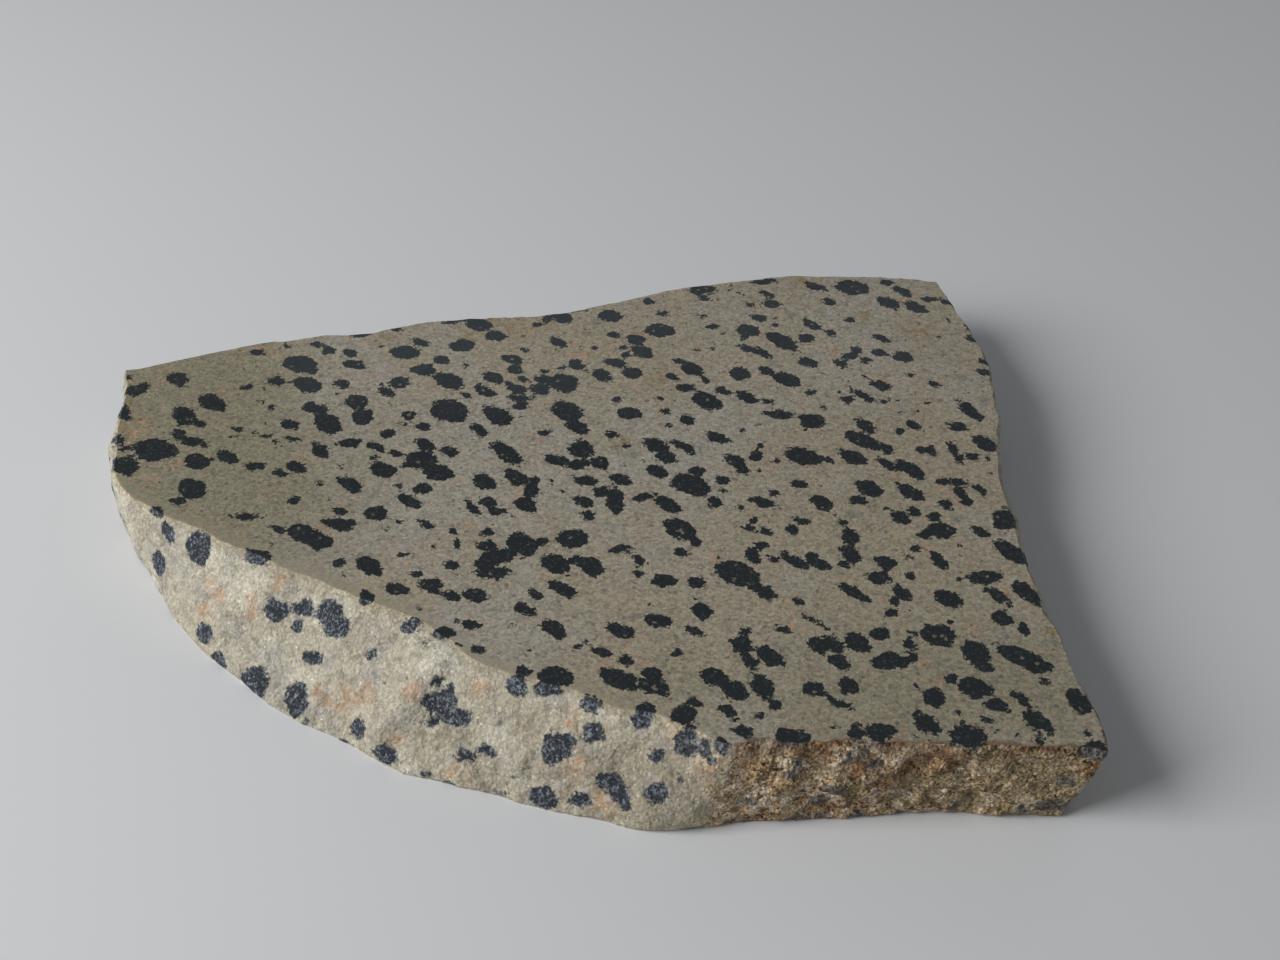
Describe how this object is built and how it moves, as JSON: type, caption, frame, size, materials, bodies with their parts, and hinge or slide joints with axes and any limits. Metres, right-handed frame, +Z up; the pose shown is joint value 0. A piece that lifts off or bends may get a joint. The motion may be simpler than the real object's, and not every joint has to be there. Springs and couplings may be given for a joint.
{
  "type": "dalmatian stone slab",
  "caption": "Sawn slab of spotted dalmatian stone with flat upper and lower cuts, a sloping broken edge at the left and front and a weathered face at the right of the front.",
  "frame": {"origin": "middle of the slab's box at the height of the lower saw cut", "axes": "+X along the slab's greatest length, to the right as pictured, +Z up through its thickness, -Y towards the camera's side"},
  "size_m": [0.1022, 0.0806, 0.0095],
  "materials": {
    "stone": "matte sawn and broken stone, cream to olive grey with black ragged spots"
  },
  "bodies": {
    "root": {"stone_slab": "stone"}
  },
  "joints": []
}
